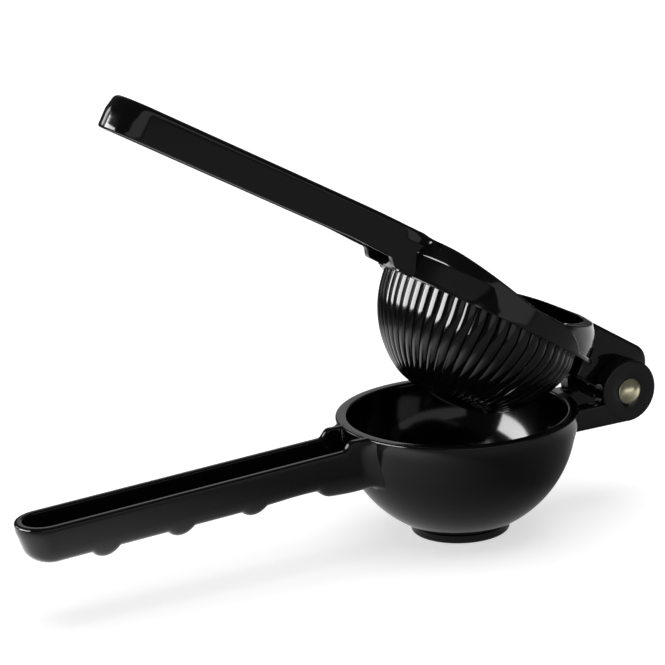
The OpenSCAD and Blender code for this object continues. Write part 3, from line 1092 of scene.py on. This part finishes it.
def build_lights():
    """The lamps, each turned to the tool."""
    for name, azimuth, elevation, far, wide, high, radiance, matt in LAMPS:
        a, e = math.radians(azimuth), math.radians(elevation)
        way = Vector((math.sin(a) * math.cos(e), math.cos(a) * math.cos(e), math.sin(e)))
        data = bpy.data.lights.new(name, "AREA")
        data.shape = "RECTANGLE"
        data.size = wide
        data.size_y = high
        data.energy = radiance * math.pi * wide * high
        lamp = bpy.data.objects.new(name, data)
        lamp.location = LAMP_AIM + way * far
        lamp.rotation_euler = (-way).to_track_quat("-Z", "Y").to_euler()
        lamp.visible_camera = False
        lamp.visible_diffuse = matt
        lamp.visible_glossy = not matt
        bpy.context.scene.collection.objects.link(lamp)


def build_camera(lens):
    """The camera, turned to its aim and rolled a little."""
    data = bpy.data.cameras.new("camera")
    data.lens = lens
    data.sensor_width = 36.0
    data.clip_start, data.clip_end = 0.01, 50.0
    cam = bpy.data.objects.new("camera", data)
    ca, sa = math.cos(AZIMUTH), math.sin(AZIMUTH)
    ce, se = math.cos(ELEVATION), math.sin(ELEVATION)
    back = Vector((-sa * ce, -ca * ce, se))
    right = Vector((ca, -sa, 0.0))
    up = back.cross(right)
    cr, sr = math.cos(ROLL), math.sin(ROLL)
    x_axis = right * cr + up * sr
    y_axis = -right * sr + up * cr
    at = place_closed(*AIM) + back * DISTANCE * MM
    turn = Matrix((x_axis, y_axis, back)).transposed().to_4x4()
    cam.matrix_world = Matrix.Translation(at) @ turn
    bpy.context.scene.collection.objects.link(cam)
    bpy.context.scene.camera = cam


# ---------------------------------------------------------------- properties and operators


class SqueezerFinish(bpy.types.PropertyGroup):
    """Colours, gloss and holes a user would change."""

    drain_holes: IntProperty(
        name="Drain holes",
        description="Holes round the centre one in the bowl's floor",
        default=6,
        min=4,
        max=8,
    )
    enamel_colour: FloatVectorProperty(
        name="Enamel colour",
        description="Colour of the enamel on both arms",
        subtype="COLOR",
        size=3,
        min=0.0,
        max=1.0,
        default=(0.004, 0.004, 0.0045),
    )
    enamel_roughness: FloatProperty(
        name="Enamel roughness",
        description="How blurred the enamel's reflections are",
        subtype="FACTOR",
        min=0.0,
        max=1.0,
        default=0.1,
    )
    waviness: FloatProperty(
        name="Waviness",
        description="How much the casting's skin waves the reflections",
        subtype="FACTOR",
        min=0.0,
        max=1.0,
        default=0.12,
    )
    rivet_colour: FloatVectorProperty(
        name="Rivet colour",
        description="Colour of the rivet",
        subtype="COLOR",
        size=3,
        min=0.0,
        max=1.0,
        default=(0.67, 0.62, 0.43),
    )


class SqueezerStage(bpy.types.PropertyGroup):
    """Camera and floor sizes."""

    lens: FloatProperty(
        name="Lens",
        description="Focal length of the camera",
        subtype="DISTANCE_CAMERA",
        default=139.3,
    )
    floor_size: FloatProperty(
        name="Floor size",
        description="Width of the floor",
        unit="LENGTH",
        default=8.0,
    )


class SQUEEZER_OT_bowl(bpy.types.Operator):
    """Makes the strainer bowl with its foot, rim and drain holes"""

    bl_idname = "squeezer.bowl"
    bl_label = "Bowl"

    def execute(self, context):
        bm = lathe(bowl_profile(), BOWL_STEPS)
        drain_plate(bm, context.scene.squeezer_finish.drain_holes)
        bowl = make("bowl", bm, "lower", black_enamel(), place_closed)
        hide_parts("lower_arm")
        return {"FINISHED"}


class SQUEEZER_OT_lower_handle(bpy.types.Operator):
    """Makes the lower channel handle with its finger bumps"""

    bl_idname = "squeezer.lower_handle"
    bl_label = "Lower handle"

    def execute(self, context):
        bm = tray(LOWER_LEN, LOWER_DEPTH, LOWER_START, LOWER_WEB_R, lower_handle_point)
        make("lower_handle", bm, "lower", black_enamel(), place_closed)
        return {"FINISHED"}


class SQUEEZER_OT_ears(bpy.types.Operator):
    """Makes the two hinge ears and their webs"""

    bl_idname = "squeezer.ears"
    bl_label = "Ears"

    def execute(self, context):
        for side, end in ((-1, "near"), (1, "far")):
            for name, bm in (("ear_", ear_disc(side)), ("ear_web_", ear_web(side))):
                make(name + end, bm, "lower", black_enamel(), place_closed)
        return {"FINISHED"}


class SQUEEZER_OT_rivet(bpy.types.Operator):
    """Makes the hinge rivet with its domed head"""

    bl_idname = "squeezer.rivet"
    bl_label = "Rivet"

    def execute(self, context):
        bm = turned_y(rivet_profile(), RIVET_STEPS)
        rivet = make("rivet", bm, "lower", rivet_metal(), place_closed)
        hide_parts("hinge_pin")
        return {"FINISHED"}


class SQUEEZER_OT_dome(bpy.types.Operator):
    """Makes the fluted pressing dome and its hollow"""

    bl_idname = "squeezer.dome"
    bl_label = "Dome"

    def execute(self, context):
        bm = shell(DOME_RINGS + 1, FLUTES * FLUTE_STEPS + 1, dome_point)
        dome = make(
            "press_dome", bm, "upper", black_enamel(), place_open, FLUTES_SMOOTH_UNDER
        )
        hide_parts("upper_arm")
        make("dome_hollow", dome_hollow(), "upper", black_enamel(), place_open)
        return {"FINISHED"}


class SQUEEZER_OT_cup(bpy.types.Operator):
    """Makes the flange and the saddle-rimmed cup wall"""

    bl_idname = "squeezer.cup"
    bl_label = "Cup wall"

    def execute(self, context):
        make("cup_wall", cup_wall(), "upper", black_enamel(), place_open)
        return {"FINISHED"}


class SQUEEZER_OT_upper_handle(bpy.types.Operator):
    """Makes the upper channel handle and its flare into the cup"""

    bl_idname = "squeezer.upper_handle"
    bl_label = "Upper handle"

    def execute(self, context):
        bm = tray(UPPER_LEN, UPPER_DEPTH, UPPER_START, UPPER_WEB_R, upper_handle_point)
        make("upper_handle", bm, "upper", black_enamel(), place_open)
        return {"FINISHED"}


class SQUEEZER_OT_knuckle(bpy.types.Operator):
    """Makes the knuckle that turns between the ears"""

    bl_idname = "squeezer.knuckle"
    bl_label = "Knuckle"

    def execute(self, context):
        bm = plate(knuckle_outline(), -KNUCKLE_HALF, KNUCKLE_HALF, KNUCKLE_EDGE)
        make("knuckle", bm, "upper", black_enamel(), place_open)
        return {"FINISHED"}


class SQUEEZER_OT_stage(bpy.types.Operator):
    """Makes the floor, the lights and the camera"""

    bl_idname = "squeezer.stage"
    bl_label = "Stage"

    def execute(self, context):
        p = context.scene.squeezer_stage
        build_floor(p.floor_size)
        build_world()
        build_lights()
        build_camera(p.lens)
        context.scene.view_settings.view_transform = "Standard"
        return {"FINISHED"}


class SQUEEZER_PT_panel(bpy.types.Panel):
    """Sizes, colours and pieces of the squeezer"""

    bl_label = "Lemon squeezer"
    bl_idname = "SQUEEZER_PT_panel"
    bl_space_type = "VIEW_3D"
    bl_region_type = "UI"
    bl_category = "Squeezer"

    def draw(self, context):
        scene = context.scene
        for group, owner in (
            (SqueezerFinish, scene.squeezer_finish),
            (SqueezerStage, scene.squeezer_stage),
        ):
            box = self.layout.box()
            for name in group.__annotations__:
                box.prop(owner, name)
        for op in PIECES:
            self.layout.operator(op.bl_idname)


PIECES = (
    SQUEEZER_OT_bowl,
    SQUEEZER_OT_lower_handle,
    SQUEEZER_OT_ears,
    SQUEEZER_OT_rivet,
    SQUEEZER_OT_dome,
    SQUEEZER_OT_cup,
    SQUEEZER_OT_upper_handle,
    SQUEEZER_OT_knuckle,
    SQUEEZER_OT_stage,
)
CLASSES = (SqueezerFinish, SqueezerStage, *PIECES, SQUEEZER_PT_panel)


def register():
    """Registers the classes and their properties."""
    for cls in CLASSES:
        bpy.utils.register_class(cls)
    bpy.types.Scene.squeezer_finish = PointerProperty(type=SqueezerFinish)
    bpy.types.Scene.squeezer_stage = PointerProperty(type=SqueezerStage)


def unregister():
    """Takes the properties and classes away again."""
    del bpy.types.Scene.squeezer_stage
    del bpy.types.Scene.squeezer_finish
    for cls in reversed(CLASSES):
        bpy.utils.unregister_class(cls)


def main():
    """Makes every piece and the stage."""
    register()
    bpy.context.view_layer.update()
    for op in PIECES:
        group, name = op.bl_idname.split(".")
        getattr(getattr(bpy.ops, group), name)()


if __name__ == "__main__":
    main()
